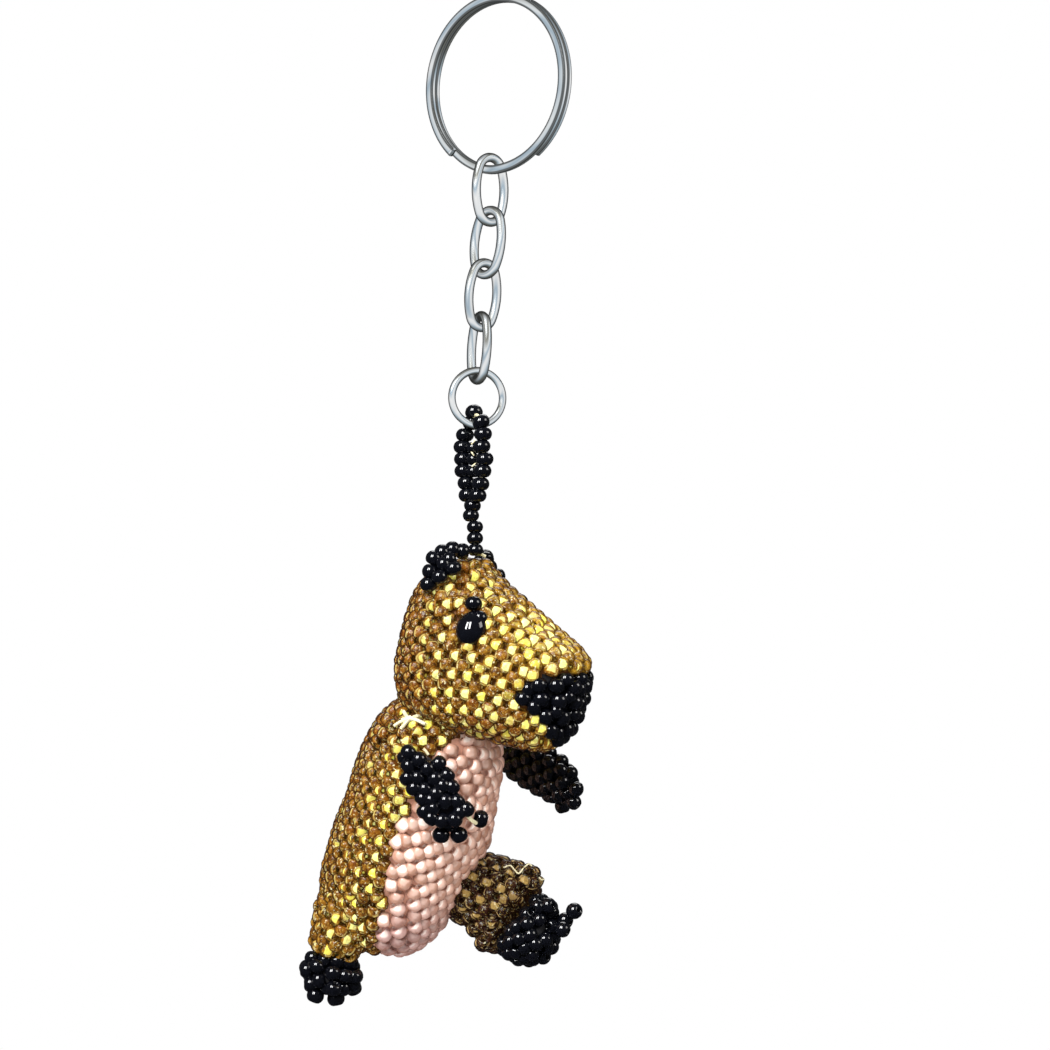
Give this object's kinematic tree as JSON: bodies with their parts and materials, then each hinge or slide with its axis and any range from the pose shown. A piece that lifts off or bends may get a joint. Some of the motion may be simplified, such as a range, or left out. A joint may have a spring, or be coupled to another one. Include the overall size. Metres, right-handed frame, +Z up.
{
  "type": "beaded animal key charm",
  "caption": "Key ring with a short oval link chain, a black beaded hanging loop and a small woven-bead animal in gold, pink and black panels with swinging limbs.",
  "frame": {"origin": "middle of the flat inside the top of the split ring, where a hook or a key bears", "axes": "+Z up along the hanging direction; the animal faces -Y and its own right side is -X; apart from the posed limbs the animal is symmetric about X = 0"},
  "size_m": [0.0292, 0.0419, 0.1412],
  "materials": {
    "steel": "bright nickel plate with soft grey reflections",
    "black_bead": "opaque jet glass seed beads, high gloss",
    "gold_bead": "silver-lined gold glass seed beads",
    "pink_bead": "pearl pink glass seed beads",
    "thread": "clear nylon monofilament",
    "fill": "soft white fibre"
  },
  "bodies": {
    "ring": {"split_ring": "steel"},
    "link_1": {"chain_link_1": "steel"},
    "link_2": {"chain_link_2": "steel"},
    "link_3": {"chain_link_3": "steel"},
    "link_4": {"chain_link_4": "steel"},
    "jump": {"jump_ring": "steel"},
    "hanger": {"hanger_loop": "black_bead"},
    "strand": {"hanger_strand": "black_bead"},
    "head": {"crown_bead": "black_bead", "crown_thread": "thread", "head_shell": "gold_bead", "muzzle": "black_bead", "right_ear": "black_bead", "left_ear": "black_bead", "right_eye": "black_bead", "left_eye": "black_bead", "right_brow_bead": "black_bead", "left_brow_bead": "black_bead", "head_stuffing": "fill"},
    "torso": {"torso_shell": "gold_bead", "belly_panel": "pink_bead", "torso_stuffing": "fill"},
    "arm_right": {"right_arm": "black_bead", "right_finger_1": "black_bead", "right_finger_2": "black_bead", "right_finger_3": "black_bead"},
    "arm_left": {"left_arm": "black_bead", "left_finger_1": "black_bead", "left_finger_2": "black_bead", "left_finger_3": "black_bead"},
    "leg_right": {"right_leg": "gold_bead", "right_foot": "black_bead", "right_toe_1": "black_bead", "right_toe_2": "black_bead", "right_toe_3": "black_bead"},
    "leg_left": {"left_leg": "gold_bead", "left_foot": "black_bead", "left_toe_1": "black_bead", "left_toe_2": "black_bead", "left_toe_3": "black_bead"}
  },
  "joints": [
    {"name": "ring_to_link_1", "type": "hinge", "parent": "ring", "child": "link_1", "pos_m": [0.00077, 0.00149, -0.02302], "axis": [0.1564, 0.9877, 0], "range_deg": [-45, 45]},
    {"name": "link_1_to_link_2", "type": "hinge", "parent": "link_1", "child": "link_2", "pos_m": [0.00074, 0.00155, -0.03033], "axis": [-0.9135, 0.4067, 0], "range_deg": [-45, 45]},
    {"name": "link_2_to_link_3", "type": "hinge", "parent": "link_2", "child": "link_3", "pos_m": [0.00035, 0.00221, -0.03762], "axis": [-0.1392, -0.9903, 0], "range_deg": [-45, 45]},
    {"name": "link_3_to_link_4", "type": "hinge", "parent": "link_3", "child": "link_4", "pos_m": [0.00009, 0.00268, -0.04495], "axis": [0.9135, -0.4067, 0], "range_deg": [-45, 45]},
    {"name": "link_4_to_jump", "type": "hinge", "parent": "link_4", "child": "jump", "pos_m": [-0.00013, 0.00305, -0.05227], "axis": [0.5299, 0.848, 0], "range_deg": [-45, 45]},
    {"name": "jump_to_hanger", "type": "hinge", "parent": "jump", "child": "hanger", "pos_m": [-0.00013, 0.00305, -0.05849], "axis": [-0.788, 0.6157, 0], "range_deg": [-40, 40]},
    {"name": "strand_bend", "type": "hinge", "parent": "hanger", "child": "strand", "pos_m": [-0.00025, 0.00365, -0.07017], "axis": [0.866, -0.5, 0], "range_deg": [-15, 15]},
    {"name": "head_turn", "type": "hinge", "parent": "strand", "child": "head", "pos_m": [-0.0002, 0.00355, -0.07497], "axis": [0, 0, 1], "range_deg": [-60, 60]},
    {"name": "neck_twist", "type": "hinge", "parent": "head", "child": "torso", "pos_m": [0, 0.0076, -0.09992], "axis": [0, -0.347, 0.9379], "range_deg": [-6, 6]},
    {"name": "arm_right_swing", "type": "hinge", "parent": "torso", "child": "arm_right", "pos_m": [-0.0125, 0.0061, -0.10297], "axis": [-0.866, -0.5, 0], "range_deg": [-14, 14]},
    {"name": "arm_left_swing", "type": "hinge", "parent": "torso", "child": "arm_left", "pos_m": [0.0126, 0.0061, -0.10457], "axis": [0.866, -0.5, 0], "range_deg": [-14, 14]},
    {"name": "leg_right_swing", "type": "hinge", "parent": "torso", "child": "leg_right", "pos_m": [-0.005, 0.0198, -0.12357], "axis": [1, 0, 0], "range_deg": [-9, 9]},
    {"name": "leg_left_swing", "type": "hinge", "parent": "torso", "child": "leg_left", "pos_m": [0.0051, 0.0096, -0.12377], "axis": [1, 0, 0], "range_deg": [-9, 9]}
  ]
}
